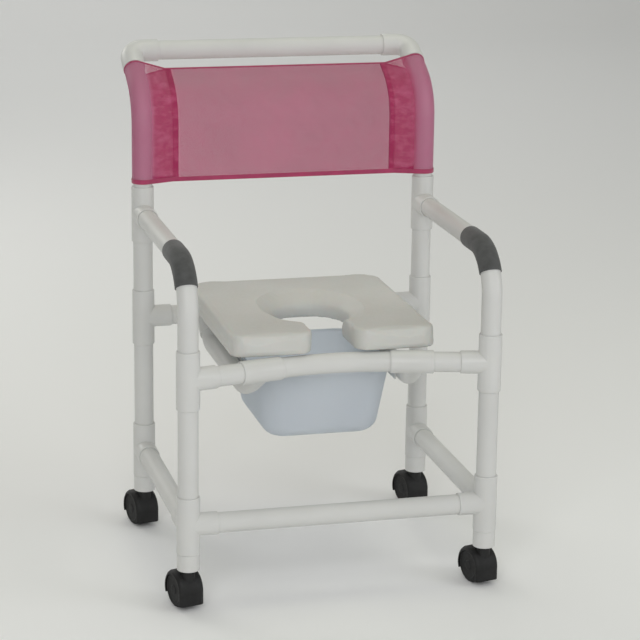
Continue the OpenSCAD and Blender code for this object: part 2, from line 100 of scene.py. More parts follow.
def make_lights():
    """A soft frontal key, weaker sides, a lamp for the backdrop and an even sky."""
    area_light("key", (-1.6, -4.6, 2.6), (0, 0, 0.5), 3.2, 97, (0.99, 0.99, 1.0))
    area_light("fill", (3.4, -2.6, 1.8), (0, 0, 0.5), 2.6, 38, (0.97, 0.98, 1.0))
    area_light("top", (0.3, 0.2, 4.2), (0, 0, 0.4), 2.6, 25, (0.98, 1.0, 0.80))
    area_light("rim", (-2.2, 3.4, 2.4), (0, 0, 0.6), 2.0, 28, (1.0, 0.99, 0.96))
    area_light("sweep", (0, 6.0, 5.0), (0, 6.6, 0), 5.0, 75, (1.0, 1.0, 0.99))
    world = bpy.data.worlds.new("studio")
    world.use_nodes = True
    background = world.node_tree.nodes["Background"]
    background.inputs["Color"].default_value = (0.90, 0.91, 0.86, 1)
    background.inputs["Strength"].default_value = 0.34
    bpy.context.scene.world = world
    bpy.context.scene.view_settings.view_transform = "Standard"


def make_floor():
    """Pale paper that lies under the chair and sweeps up behind it."""
    mesh = bpy.data.meshes.new("floor")
    profile = [(-FLOOR_AHEAD, 0.0)]
    for i in range(SWEEP_STEPS + 1):
        a = math.pi / 2 * i / SWEEP_STEPS
        profile.append((FLOOR_HALF - SWEEP_R + SWEEP_R * math.sin(a), SWEEP_R - SWEEP_R * math.cos(a)))
    profile.append((FLOOR_HALF, SWEEP_TOP))
    points = [(x, y, z) for x in (-FLOOR_HALF * 1.5, FLOOR_HALF * 1.5) for y, z in profile]
    n = len(profile)
    mesh.from_pydata(points, [], [(i, i + 1, n + i + 1, n + i) for i in range(n - 1)])
    mesh.shade_smooth()
    floor = bpy.data.objects.new("floor", mesh)
    bpy.context.scene.collection.objects.link(floor)
    mesh.materials.append(material("floor_paper", (0.90, 0.90, 0.90), 0.9))


# ---- materials ----
def material(name, colour, rough, **sockets):
    """A Principled material; sockets such as Specular_IOR_Level=0.4 are set on the shader itself."""
    made = bpy.data.materials.new(name)
    made.use_nodes = True
    shader = made.node_tree.nodes["Principled BSDF"]
    shader.inputs["Base Color"].default_value = (*colour, 1)
    shader.inputs["Roughness"].default_value = rough
    for socket, value in sockets.items():
        shader.inputs[socket.replace("_", " ")].default_value = value
    return made


def add(made, kind, **inputs):
    """A new shader node with some of its inputs set."""
    node = made.node_tree.nodes.new(kind)
    for socket, value in inputs.items():
        node.inputs[socket.replace("_", " ")].default_value = value
    return node


def shader_of(made):
    return made.node_tree.nodes["Principled BSDF"]


def link(made, out, into):
    made.node_tree.links.new(out, into)


def coordinates(made, stretch=(1, 1, 1)):
    """The object's own coordinates, in metres, multiplied along each axis by stretch."""
    place = add(made, "ShaderNodeTexCoord")
    mapping = add(made, "ShaderNodeMapping")
    mapping.inputs["Scale"].default_value = stretch
    link(made, place.outputs["Object"], mapping.inputs["Vector"])
    return mapping.outputs["Vector"]


def pattern(made, where, scale, detail=2.0, roughness=0.5):
    """Smooth noise; scale is in waves per metre."""
    node = add(made, "ShaderNodeTexNoise", Scale=scale, Detail=detail, Roughness=roughness)
    link(made, where, node.inputs["Vector"])
    return node.outputs["Fac"]


def spread(made, value, low, high, from_low=0.3, from_high=0.7):
    """Maps a pattern's useful range onto low..high."""
    node = add(made, "ShaderNodeMapRange")
    limits = {"From Min": from_low, "From Max": from_high, "To Min": low, "To Max": high}
    for socket, number in limits.items():
        node.inputs[socket].default_value = number
    link(made, value, node.inputs["Value"])
    return node.outputs["Result"]


def tint(made, value, dark, light):
    """Colour between dark and light by value, on the base colour."""
    node = made.node_tree.nodes.new("ShaderNodeMix")
    node.data_type = "RGBA"
    node.inputs["A"].default_value = (*dark, 1)
    node.inputs["B"].default_value = (*light, 1)
    link(made, value, node.inputs["Factor"])
    link(made, node.outputs["Result"], shader_of(made).inputs["Base Color"])
    return node


def shaded(colour, factor):
    return [c * factor for c in colour]


def blotched(made, where, scale, dark, light, detail=3):
    """Faint blotches between two shades."""
    return tint(made, spread(made, pattern(made, where, scale, detail), 0, 1), dark, light)


def worn(made, where, scale, low, high):
    """Roughness that wanders between two values."""
    link(made, spread(made, pattern(made, where, scale, 3), low, high), shader_of(made).inputs["Roughness"])


def bump(made, *layers):
    """Bumps on top of each other: each layer is (height, strength, distance in metres)."""
    before = None
    for height, strength, distance in layers:
        node = add(made, "ShaderNodeBump", Strength=strength, Distance=distance)
        link(made, height, node.inputs["Height"])
        if before:
            link(made, before, node.inputs["Normal"])
        before = node.outputs["Normal"]
    link(made, before, shader_of(made).inputs["Normal"])


def let_through(made, colour, share):
    """Mixes diffuse light from behind into a thin material; an Alpha pattern then opens holes in both."""
    tree, shader = made.node_tree, shader_of(made)
    behind = add(made, "ShaderNodeBsdfTranslucent")
    behind.inputs["Color"].default_value = (*colour, 1)
    both = add(made, "ShaderNodeMixShader", Fac=share)
    link(made, shader.outputs[0], both.inputs[1])
    link(made, behind.outputs[0], both.inputs[2])
    if shader.inputs["Alpha"].is_linked:
        pattern_out = shader.inputs["Alpha"].links[0].from_socket
        tree.links.remove(shader.inputs["Alpha"].links[0])
        holes = add(made, "ShaderNodeMixShader")
        link(made, pattern_out, holes.inputs["Fac"])
        link(made, add(made, "ShaderNodeBsdfTransparent").outputs[0], holes.inputs[1])
        link(made, both.outputs[0], holes.inputs[2])
        both = holes
    link(made, both.outputs[0], tree.nodes["Material Output"].inputs["Surface"])


def maths(made, operation, a, b=None):
    """A sum on patterns; a and b are numbers or outputs of other nodes."""
    node = made.node_tree.nodes.new("ShaderNodeMath")
    node.operation = operation
    for socket, value in zip(node.inputs, (a, b)):
        if value is None:
            continue
        if isinstance(value, (int, float)):
            socket.default_value = value
        else:
            link(made, value, socket)
    return node.outputs[0]


PVC = (0.64, 0.64, 0.625)


def pvc_material(name, along, gloss):
    """Off-white PVC: faint blotches, and extrusion lines where the tube runs along an axis."""
    made = material(name, PVC, gloss, Specular_IOR_Level=0.42, Subsurface_Weight=0.08, Subsurface_Scale=0.01)
    shader_of(made).inputs["Subsurface Radius"].default_value = (1.0, 0.9, 0.7)
    even = coordinates(made)
    blotched(made, even, 9, shaded(PVC, 0.965), shaded(PVC, 1.02))
    scuff = pattern(made, even, 160, 4, 0.6)
    link(made, spread(made, scuff, gloss - 0.05, gloss + 0.08), shader_of(made).inputs["Roughness"])
    layers = [(pattern(made, even, 55, 2), 0.10, 0.0006), (scuff, 0.10, 0.0001)]
    if along:
        stretch = [900, 900, 900]
        stretch["xyz".index(along)] = 4
        lines = pattern(made, coordinates(made, stretch), 1, 1)
        layers.append((lines, 0.12, 0.0001))
    bump(made, *layers)
    return made


def foam_material():
    """Dark grey closed-cell foam of the grips."""
    made = material("grip_foam", (0.078, 0.078, 0.078), 0.86, Specular_IOR_Level=0.3, Sheen_Weight=0.15)
    where = coordinates(made)
    cells = add(made, "ShaderNodeTexVoronoi", Scale=620)
    link(made, where, cells.inputs["Vector"])
    blotched(made, where, 60, (0.066, 0.067, 0.067), (0.092, 0.094, 0.095))
    bump(made, (cells.outputs["Distance"], 0.35, 0.0005), (pattern(made, where, 260, 3), 0.3, 0.0004))
    return made


YARN = (0.43, 0.023, 0.125)
SLEEVE_CREASE_SHADE_TONES = (0.58, 0.020, 0.150), (0.76, 0.11, 0.29)   # painted crease shade and highlight of the sleeves, where the net lies double
POST_PAINTED_LIGHT = (0.78, 0.225, 0.43)                           # painted light: the net drawn lighter where the white post lies behind it, with the sheen along the post
NET_PITCH = 0.0015
NET_OPEN = 0.24              # share of the net that is holes
POST_EDGE = (0.290, 0.300)   # x at which the net meets the post it is pulled open over
PULLED_OPEN = 0.09           # how far the post opens the holes
SHEET_HALF = 0.495           # about the middle of the sheet's cut width
SLEEVE_EDGE = (0.235, 0.239)   # along the cloth from its middle: the side seam
BACK_LAYER = (0.354, 0.358)    # past here it is the back layer, whose holes are blended to an even veil


def cloth_material():
    """Vinyl-coated net: round yarns over and under each other, with open holes between them; painted crease
    shade and highlight in the sleeves, and painted light where the posts lie behind it.
    """
    made = material("mesh_fabric", YARN, 0.42, Specular_IOR_Level=0.45, Sheen_Weight=0.15, Coat_Weight=0.2,
                    Coat_Roughness=0.45)
    uv = add(made, "ShaderNodeUVMap")
    uv.uv_map = "cloth"
    split = add(made, "ShaderNodeSeparateXYZ")
    link(made, uv.outputs["UV"], split.inputs["Vector"])
    waves = []
    for axis in ("X", "Y"):
        turns = maths(made, "MULTIPLY", split.outputs[axis], math.pi / NET_PITCH)
        waves.append(maths(made, "ABSOLUTE", maths(made, "SINE", turns)))
    weave = maths(made, "MINIMUM", *waves)
    where = coordinates(made)
    plain = blotched(made, where, 14, shaded(YARN, 0.86), shaded(YARN, 1.12))
    place = add(made, "ShaderNodeSeparateXYZ")
    link(made, where, place.inputs["Vector"])
    on_post = spread(made, maths(made, "ABSOLUTE", place.outputs["X"]), 0, 1, *POST_EDGE)
    from_middle = maths(made, "ABSOLUTE", maths(made, "SUBTRACT", split.outputs["X"], SHEET_HALF))
    # painted shade and highlight of creases: streaks between a dark and a light tone of the yarn in the
    # sleeves
    crease_shade_streaks = pattern(made, coordinates(made, (1, 1, 2.0)), 38, 3, 0.55)
    crease_shade_tones = tint(made, spread(made, crease_shade_streaks, 0, 1, 0.44, 0.66), *SLEEVE_CREASE_SHADE_TONES)
    with_crease_shade = tint(made, spread(made, from_middle, 0, 1, *SLEEVE_EDGE), YARN, YARN)
    link(made, crease_shade_tones.outputs["Result"], with_crease_shade.inputs["B"])
    link(made, plain.outputs["Result"], with_crease_shade.inputs["A"])
    # painted light over the posts: the yarn lighter where the white post shows through, with its sheen
    post_light_tint = tint(made, on_post, YARN, POST_PAINTED_LIGHT)
    link(made, with_crease_shade.outputs["Result"], post_light_tint.inputs["A"])
    weave = maths(made, "ADD", weave, maths(made, "MULTIPLY", on_post, PULLED_OPEN))
    crossings = maths(made, "MULTIPLY", *waves)
    bump(made, (crossings, 0.45, 0.0006), (pattern(made, where, 900, 2), 0.15, 0.0002))
    edge = math.cos(math.pi / 2 * math.sqrt(NET_OPEN))
    gap = spread(made, weave, 1, 0, edge - 0.05, edge + 0.05)
    behind = spread(made, from_middle, 0, 1, *BACK_LAYER)
    evened = maths(made, "MULTIPLY", behind, maths(made, "SUBTRACT", 1 - NET_OPEN, gap))
    link(made, maths(made, "ADD", gap, evened), shader_of(made).inputs["Alpha"])
    let_through(made, YARN, 0.42)
    return made


def tape_material(name, colour):
    """Narrow woven tape of the binding: fine twill ribs across it."""
    made = material(name, colour, 0.6, Sheen_Weight=0.25)
    where = coordinates(made)
    ribs = add(made, "ShaderNodeTexWave", Scale=420, Distortion=0.4)
    link(made, where, ribs.inputs["Vector"])
    blotched(made, where, 40, shaded(colour, 0.85), shaded(colour, 1.1))
    bump(made, (ribs.outputs["Fac"], 0.3, 0.0003))
    return made


def vinyl_material():
    """Soft skin of the seat: pale cream, fine leather-like grain and a low sheen."""
    made = material("seat_skin", (0.59, 0.59, 0.565), 0.5, Specular_IOR_Level=0.4, Subsurface_Weight=0.12,
                    Subsurface_Scale=0.006, Coat_Weight=0.06, Coat_Roughness=0.45)
    where = coordinates(made)
    blotched(made, where, 7, (0.57, 0.57, 0.54), (0.61, 0.61, 0.585))
    grain = add(made, "ShaderNodeTexVoronoi", Scale=520)
    link(made, where, grain.inputs["Vector"])
    worn(made, where, 120, 0.44, 0.58)
    bump(made, (pattern(made, where, 26, 2), 0.10, 0.002), (grain.outputs["Distance"], 0.22, 0.0003))
    return made


def pail_material():
    """Bluish white polyethylene that lets some light through."""
    made = material("pail_plastic", (0.78, 0.80, 0.835), 0.38, Specular_IOR_Level=0.4, Subsurface_Weight=0.3,
                    Subsurface_Scale=0.008)
    shader_of(made).inputs["Subsurface Radius"].default_value = (0.8, 0.9, 1.0)
    where = coordinates(made)
    blotched(made, where, 6, (0.745, 0.785, 0.835), (0.785, 0.815, 0.865), 2)
    worn(made, where, 90, 0.32, 0.46)
    bump(made, (pattern(made, where, 20, 2), 0.12, 0.002), (pattern(made, where, 320, 3), 0.14, 0.0003))
    let_through(made, (0.90, 0.93, 0.96), 0.62)
    return made


def nylon_material(name, colour, rough, grain=700, mottle=0.03):
    """Moulded plastic or rubber with a fine grain."""
    made = material(name, colour, rough, Specular_IOR_Level=0.35)
    where = coordinates(made)
    blotched(made, where, 30, shaded(colour, 1 - mottle), shaded(colour, 1 + mottle))
    worn(made, where, 140, rough - 0.06, rough + 0.08)
    bump(made, (pattern(made, where, grain, 2), 0.25, 0.0002))
    return made


def steel_material(name, colour, rough):
    """Plated steel with marks drawn out along it."""
    made = material(name, colour, rough, Metallic=1.0)
    where = coordinates(made, (1, 1, 14))
    worn(made, where, 260, rough - 0.08, rough + 0.12)
    bump(made, (pattern(made, where, 900, 2), 0.12, 0.0001))
    return made


MATERIALS = {
    "pvc_tube": pvc_material("pvc_tube", None, 0.40),
    "pvc_tube_x": pvc_material("pvc_tube_x", "x", 0.40),
    "pvc_tube_y": pvc_material("pvc_tube_y", "y", 0.40),
    "pvc_tube_z": pvc_material("pvc_tube_z", "z", 0.40),
    "pvc_fitting": pvc_material("pvc_fitting", None, 0.33),
    "grip_foam": foam_material(),
    "mesh_fabric": cloth_material(),
    "binding": tape_material("binding", (0.40, 0.036, 0.115)),
    "thread": nylon_material("thread", (0.42, 0.05, 0.14), 0.5),
    "seat_skin": vinyl_material(),
    "seat_board": nylon_material("seat_board", (0.56, 0.56, 0.54), 0.5),
    "clip_plastic": nylon_material("clip_plastic", (0.62, 0.62, 0.61), 0.38),
    "runner_plastic": nylon_material("runner_plastic", (0.64, 0.65, 0.64), 0.35),
    "pail_plastic": pail_material(),
    "screw_steel": steel_material("screw_steel", (0.62, 0.62, 0.63), 0.28),
    "stem_steel": steel_material("stem_steel", (0.60, 0.61, 0.62), 0.22),
    "caster_plastic": nylon_material("caster_plastic", (0.0105, 0.0105, 0.0108), 0.54, mottle=0.15),
    "wheel_tread": nylon_material("wheel_tread", (0.0135, 0.0135, 0.0138), 0.64, 420, 0.15),
}


# ---- shapes ----
def mesh_of(name, points, faces):
    mesh = bpy.data.meshes.new(name)
    mesh.from_pydata([tuple(p) for p in points], [], faces)
    mesh.validate()
    return mesh


def show(name, mesh, body, material, replaced=(), angle=40):
    """Puts a mesh in the scene as a piece that rides on a body and may stand for CAD nodes."""
    piece = bpy.data.objects.new(name, mesh)
    bpy.context.scene.collection.objects.link(piece)
    mesh.materials.clear()
    mesh.materials.append(MATERIALS[material])
    mesh.shade_smooth()
    if angle:
        mesh.set_sharp_from_angle(angle=math.radians(angle))
    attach(piece, body)
    if replaced:
        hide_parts(*replaced)
    return piece


def bake(piece):
    """Applies a piece's modifiers to its mesh."""
    graph = bpy.context.evaluated_depsgraph_get()
    mesh = bpy.data.meshes.new_from_object(piece.evaluated_get(graph), depsgraph=graph)
    piece.modifiers.clear()
    piece.data = mesh


def outward(mesh):
    """Turns every face of a closed mesh outward."""
    work = bmesh.new()
    work.from_mesh(mesh)
    bmesh.ops.recalc_face_normals(work, faces=work.faces)
    work.to_mesh(mesh)
    work.free()


def work_piece(name, mesh):
    """A copy of a mesh in the scene, for a simulation to move."""
    work = bpy.data.objects.new(name, mesh.copy())
    bpy.context.scene.collection.objects.link(work)
    return work


def group(work, name, chosen):
    """Names the chosen points of a work piece."""
    work.vertex_groups.new(name=name).add([int(i) for i in np.nonzero(chosen)[0]], 1.0, "REPLACE")


def settled(work, rest, frames):
    """How far its simulation takes a work piece's points from rest; the work piece is then removed."""
    scene = bpy.context.scene
    for number in range(1, frames + 1):
        scene.frame_set(number)
    graph = bpy.context.evaluated_depsgraph_get()
    moved = points_of(work.evaluated_get(graph).data) - rest
    scene.frame_set(1)
    bpy.data.objects.remove(work)
    return moved


def points_of(mesh):
    flat = np.empty(len(mesh.vertices) * 3)
    mesh.vertices.foreach_get("co", flat)
    return flat.reshape(-1, 3)


def set_points(mesh, points):
    mesh.vertices.foreach_set("co", np.ascontiguousarray(points, dtype=float).ravel())
    mesh.update()


def grid_faces(rows, columns, wrap=False):
    """Quads between rows of points; wrap joins the last column to the first."""
    faces = []
    for r in range(rows - 1):
        for c in range(columns if wrap else columns - 1):
            d = (c + 1) % columns
            faces.append((r * columns + c, r * columns + d, (r + 1) * columns + d, (r + 1) * columns + c))
    return faces


def rounded_copy(node, body, material, width, angle=28):
    """A copy of a CAD node with its edges rounded over, which stands for the node."""
    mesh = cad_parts[node].data.copy()
    work = bmesh.new()
    work.from_mesh(mesh)
    bmesh.ops.remove_doubles(work, verts=work.verts, dist=1e-5)
    bmesh.ops.dissolve_limit(work, angle_limit=math.radians(1), verts=work.verts, edges=work.edges)
    work.to_mesh(mesh)
    work.free()
    piece = show(node + "_moulded", mesh, body, material, replaced=[node], angle=None)
    edge = piece.modifiers.new("edge", "BEVEL")
    edge.width, edge.segments = width, 3
    edge.limit_method, edge.angle_limit = "ANGLE", math.radians(angle)
    edge.use_clamp_overlap, edge.miter_outer = True, "MITER_ARC"
    bake(piece)
    piece.data.shade_smooth()
    piece.data.set_sharp_from_angle(angle=math.radians(50))
    return piece


def capsule(length, radius, sides=6):
    """A short thread along X, as points and faces."""
    rings = [(-length / 2, 0.3), (-length / 2 + radius * 0.6, 0.85), (0, 1.0),
             (length / 2 - radius * 0.6, 0.85), (length / 2, 0.3)]
    points = [(x, radius * k * math.cos(a), radius * k * math.sin(a)) for x, k in rings
              for a in (2 * math.pi * i / sides for i in range(sides))]
    faces = grid_faces(len(rings), sides, wrap=True)
    faces.append(tuple(range(sides))[::-1])
    faces.append(tuple(range((len(rings) - 1) * sides, len(rings) * sides)))
    return np.array(points), faces


def stitches(name, runs, body, pitch=0.0034, length=0.0025, radius=0.00038):
    """Threads laid along runs; each run is a list of points and the cloth's normal there."""
    shape, shape_faces = capsule(length, radius)
    points, faces = [], []
    for line, normals in runs:
        line, normals = np.array(line), np.array(normals)
        steps = np.linalg.norm(np.diff(line, axis=0), axis=1)
        along = np.concatenate(([0], np.cumsum(steps)))
        for start in np.arange(pitch / 2, along[-1] - pitch / 2, pitch):
            centre, ahead, normal = (
                np.array([np.interp(start + step, along, source[:, k]) for k in range(3)])
                for source, step in ((line, 0), (line, pitch / 2), (normals, 0)))
            x = ahead - centre
            x /= np.linalg.norm(x)
            z = normal - x * normal.dot(x)
            z /= np.linalg.norm(z)
            turned = shape @ np.array((x, np.cross(z, x), z)) + centre
            faces += [tuple(i + len(points) for i in face) for face in shape_faces]
            points += list(turned)
    return show(name, mesh_of(name, points, faces), body, "thread")


# ---- mesh back: one sheet sewn round both posts ----
SLING_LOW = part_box("mesh_back")[0].z
BEND_Z, BEND_R, LEAN = 0.911, 0.100, math.radians(60)   # the posts' bend back towards the push bar
PAST_BEND = 0.0467                # how far the sheet goes on up the leaning part of the posts
SLING_LENGTH = (BEND_Z - SLING_LOW) + BEND_R * LEAN + PAST_BEND
SEAM_X = LEG_X - 0.067            # side seam, which closes the sleeve round the post
FOLD_X = SEAM_X - 0.014           # end of the hem inside the seam
CLOTH_R = TUBE_R + 0.0018         # of the sleeve's way round the post
CLOTH_T = 0.0005
LAYER = 0.0011                    # from one layer of cloth to the next
SHEET_STEP, SHEET_ROWS = 0.0048, 57
SEWN_STEP = SHEET_STEP / 2        # for the tapes and threads that follow the sheet
HEM_HEIGHT, HEM_HALF = 0.009, 0.0011
TOP_HEIGHT, TOP_HALF = 0.003, 0.0009
HEM_THREAD = 0.0066               # height of the hem's row of stitches
THREAD_OUT = 0.00125              # of the hem's threads from the middle of the cloth
CREASE = 0.0030                   # depth of the deeper creases
SLEEVE_MOST, BAND_MOST = 0.0032, 0.003   # no crease is deeper than this
HELD_BY_SEAM = 0.003              # cloth this near a seam stays where it is
HELD_LOW, HELD_HIGH = 0.05, 0.97  # so does cloth below and above these shares of the height


def along_post(s):
    """Axis of the posts at a length s above the hem: its y and z, and the angle it leans at."""
    straight = BEND_Z - SLING_LOW
    a = np.clip((s - straight) / BEND_R, 0, LEAN)
    rest = np.maximum(s - straight - BEND_R * LEAN, 0)
    y = REAR_Y + BEND_R * (1 - np.cos(a)) + rest * np.sin(a)
    z = SLING_LOW + np.minimum(s, straight) + BEND_R * np.sin(a) + rest * np.cos(a)
    return y, z, a


def on_sling(u, v, s):
    """World points of the sling: u across the chair, v behind the posts' plane, s up along them."""
    y, z, a = along_post(s)
    return np.stack([u + 0 * s, y + v * np.cos(a), z - v * np.sin(a)], axis=-1)


def sling_path(step, hemmed=True):
    """The cloth's way across the chair, evenly spaced: u, v and the length along it.

    It runs from one side seam round that post, across the front and round the other post; a hemmed
    end goes on past the seam and folds back under itself, between the front and the back layer.
    """
    touch = math.acos(CLOTH_R / (LEG_X - SEAM_X))
    wrap = [touch - math.pi + 2 * (math.pi - touch) * i / 24 for i in range(25)]
    right = [(0.0, 0.0), (SEAM_X, 0.0)]
    right += [(LEG_X + CLOTH_R * math.cos(a), CLOTH_R * math.sin(a)) for a in wrap]
    right.append((SEAM_X, 2 * LAYER))
    if hemmed:
        right += [(FOLD_X, 2 * LAYER), (FOLD_X - 0.0005, 1.5 * LAYER), (FOLD_X, LAYER), (SEAM_X, LAYER)]
    whole = np.array([(-u, v) for u, v in right[:0:-1]] + right)
    along = np.concatenate(([0], np.cumsum(np.linalg.norm(np.diff(whole, axis=0), axis=1))))
    count = round(along[-1] / step)
    even = np.linspace(0, along[-1], count + 1)
    return np.interp(even, along, whole[:, 0]), np.interp(even, along, whole[:, 1]), even


def path_normals(u, v):
    """Outward normal of the path in the (u, v) plane at each of its points."""
    du, dv = np.gradient(u), np.gradient(v)
    size = np.hypot(du, dv)
    return dv / size, -du / size


def softened(moved, passes=5):
    """Evens out neighbouring moves, so that the creases are as broad as this cloth folds."""
    for _ in range(passes):
        moved[:, 1:-1] = (moved[:, :-2] + 2 * moved[:, 1:-1] + moved[:, 2:]) / 4
        moved[1:-1] = (moved[:-2] + 2 * moved[1:-1] + moved[2:]) / 4
    return moved


def wrinkled(mesh, path_u, path_v, rows):
    """Lets the sheet crease: its sleeves are cut a little wide, and posts, seams and hems hold it."""
    rest = points_of(mesh)
    columns = len(path_u)
    u, v = np.tile(path_u, rows), np.tile(path_v, rows)
    s = np.repeat(np.linspace(0, 1, rows), columns)
    on_post = np.hypot(np.abs(u) - LEG_X, v) < CLOTH_R + 0.0006
    at_seam = (np.abs(u) > FOLD_X - HELD_BY_SEAM) & (np.abs(u) < SEAM_X + HELD_BY_SEAM)
    edge = (s < HELD_LOW) | (s > HELD_HIGH)
    free = ~(on_post | at_seam | edge)
    start = rest.copy()
    start[free, 1] += [0.003 * noise.noise(Vector((p[0] * 40, p[1] * 40, p[2] * 90 + p[0] * 50)))
                       for p in rest[free]]
    sleeve = np.abs(u) > SEAM_X
    work = work_piece("sling_work", mesh)
    set_points(work.data, start)
    group(work, "held", ~free)
    group(work, "loose", sleeve)
    cloth = work.modifiers.new("cloth", "CLOTH")
    cloth.settings.quality = 6
    cloth.settings.mass = 0.25
    cloth.settings.tension_stiffness = cloth.settings.compression_stiffness = 12
    cloth.settings.shear_stiffness = 6
    cloth.settings.bending_stiffness = 0.5
    cloth.settings.air_damping = 2
    cloth.settings.shrink_min, cloth.settings.shrink_max = -0.002, -0.009
    cloth.settings.vertex_group_shrink = "loose"
    cloth.settings.vertex_group_mass = "held"
    cloth.settings.effector_weights.gravity = 0.0
    cloth.collision_settings.use_collision = False
    moved = settled(work, rest, 30)
    moved = softened(moved.reshape(rows, columns, 3)).reshape(-1, 3)
    patches = np.array([noise.noise(Vector((p[0] * 30, p[1] * 30, p[2] * 38))) for p in rest])
    most = np.where(sleeve, np.minimum(SLEEVE_MOST, 0.3 * np.abs(v)), BAND_MOST)
    moved *= np.clip(0.45 + 1.6 * patches, 0.05, 1)[:, None]
    length = np.linalg.norm(moved, axis=1)
    moved *= min(1, CREASE / max(np.percentile(length[sleeve], 95), 1e-9))
    length = np.linalg.norm(moved, axis=1)
    keep = np.minimum(1, most / np.maximum(length, 1e-9))
    return rest + moved * keep[:, None]


def fold_over(name, u, v, s_edge, height, half):
    """Tape folded over an edge of the cloth: one closed tube that follows the whole path.

    The tape reaches a height from the edge, which is negative at the top, and half its thickness
    either side of the cloth.
    """
    nu, nv = path_normals(u, v)
    inward = 1 if height > 0 else -1
    section = [(-half, height), (-half, inward * 0.0003), (-half * 0.6, -inward * 0.0005),
               (half * 0.6, -inward * 0.0005), (half, inward * 0.0003), (half, height),
               (half * 0.5, height + inward * 0.0004), (-half * 0.5, height + inward * 0.0004)]
    points = []
    for i in range(len(u)):
        for w, t in section:
            points.append(on_sling(u[i] + nu[i] * w, v[i] + nv[i] * w, np.float64(s_edge + t)))
    n = len(section)
    faces = grid_faces(len(u), n, wrap=True)
    faces += [tuple(range(n)), tuple(range((len(u) - 1) * n, len(u) * n))[::-1]]
    mesh = mesh_of(name, points, faces)
    outward(mesh)
    return show(name, mesh, "frame", "binding")


def make_sling():
    """The sheet with its creases, the tapes on its edges and the threads of its seams."""
    u, v, across = sling_path(SHEET_STEP)
    rows = SHEET_ROWS
    s = np.linspace(0, SLING_LENGTH, rows)
    points = on_sling(np.tile(u, rows), np.tile(v, rows), np.repeat(s, len(u)))
    mesh = mesh_of("sling", points, grid_faces(rows, len(u)))
    set_points(mesh, wrinkled(mesh, u, v, rows))
    layer = mesh.uv_layers.new(name="cloth")
    flat = np.stack([np.tile(across, rows), np.repeat(s, len(u))], axis=-1)
    for loop in mesh.loops:
        layer.data[loop.index].uv = flat[loop.vertex_index]
    sling = show("sling", mesh, "frame", "mesh_fabric", replaced=["mesh_back"], angle=None)
    smoother = sling.modifiers.new("smooth", "SUBSURF")
    smoother.levels = smoother.render_levels = 1
    bake(sling)
    sling.data.shade_smooth()

    fine_u, fine_v, _ = sling_path(SEWN_STEP, hemmed=False)
    hem = fold_over("sling_hem", fine_u, fine_v, 0.0, HEM_HEIGHT, HEM_HALF)
    roll = fold_over("sling_top_edge", fine_u, fine_v, SLING_LENGTH, -TOP_HEIGHT, TOP_HALF)
    nu, nv = path_normals(fine_u, fine_v)
    height = np.full(len(fine_u), HEM_THREAD)
    outside = on_sling(fine_u + nu * THREAD_OUT, fine_v + nv * THREAD_OUT, height)
    beyond = on_sling(fine_u + nu * 0.01, fine_v + nv * 0.01, height)
    runs = [(outside, beyond - outside)]
    steps = np.linspace(0.012, SLING_LENGTH - 0.005, 80)
    for _, side in SIDES:
        for place in (SEAM_X - 0.0015, FOLD_X + 0.002):
            x = np.full(len(steps), side * place)
            front = on_sling(x, np.full(len(steps), -CLOTH_T / 2 - 0.0003), steps)
            ahead = on_sling(x, np.full(len(steps), -0.01), steps)
            runs.append((front, ahead - front))
    thread = stitches("sling_stitching", runs, "frame")


# ---- seat cushion ----
def smooth_step(value):
    """0 to 1 with soft ends."""
    t = np.clip(value, 0, 1)
    return t * t * (3 - 2 * t)


HOLE = np.array((0.0, -0.0675))        # middle of the opening
HOLE_HALF = np.array((0.082, 0.097))
DISH_HALF = np.array((0.118, 0.205))   # the dish fades out here
DISH_DEPTH = 0.021
DISH_POWER = 1.35                      # above 1, the dish gets steeper towards the opening
FRONT_FADE, FADE_LENGTH = 0.215, 0.085   # no dish in front of y = -0.215, all of it 0.085 behind that
COLLAR = 0.006                         # how far the skin hangs down inside the opening
COLLAR_WIDTH = 0.14                    # of the opening's half size
UNDERSIDE = 0.006                      # points this near the bottom are pressed flat on the board
SEAM_HEIGHT = 0.010                    # the skin is held up to here while it swells
SWELL = 0.0035                         # and swells this far at the most


def dished(points, low, high):
    """Sinks the top round the opening, most at its edge, and fades the dish out towards the front."""
    away = points[:, :2] - HOLE
    inner = np.linalg.norm(away / HOLE_HALF, axis=1)
    outer = np.linalg.norm(away / DISH_HALF, axis=1)
    near = np.clip((1 - outer) / np.maximum((1 - outer) + (inner - 1), 1e-6), 0, 1)
    near = np.where(inner <= 1, 1, np.where(outer >= 1, 0, near))
    fade = smooth_step((points[:, 1] + FRONT_FADE) / FADE_LENGTH)
    middle_z = (low.z + high.z) / 2
    height = smooth_step((points[:, 2] - middle_z + 0.008) / (high.z - middle_z))
    points[:, 2] -= DISH_DEPTH * near ** DISH_POWER * fade * height
    rim = smooth_step(1 - (inner - 1) / COLLAR_WIDTH)
    points[:, 2] -= COLLAR * rim * fade * (1 - height)
    return points


def swollen(mesh, low):
    """Cloth filled from inside, held at its flat underside; returns the points it moves to."""
    rest = points_of(mesh)
    work = work_piece("cushion_work", mesh)
    group(work, "held", rest[:, 2] < low.z + SEAM_HEIGHT)
    cloth = work.modifiers.new("cloth", "CLOTH")
    cloth.settings.quality = 4
    cloth.settings.use_pressure = True
    cloth.settings.uniform_pressure_force = 4
    cloth.settings.effector_weights.gravity = 0
    cloth.settings.vertex_group_mass = "held"
    cloth.collision_settings.use_collision = False
    moved = settled(work, rest, 20)
    length = np.linalg.norm(moved, axis=1)
    return rest + moved * np.minimum(1, SWELL / np.maximum(length, 1e-9))[:, None]


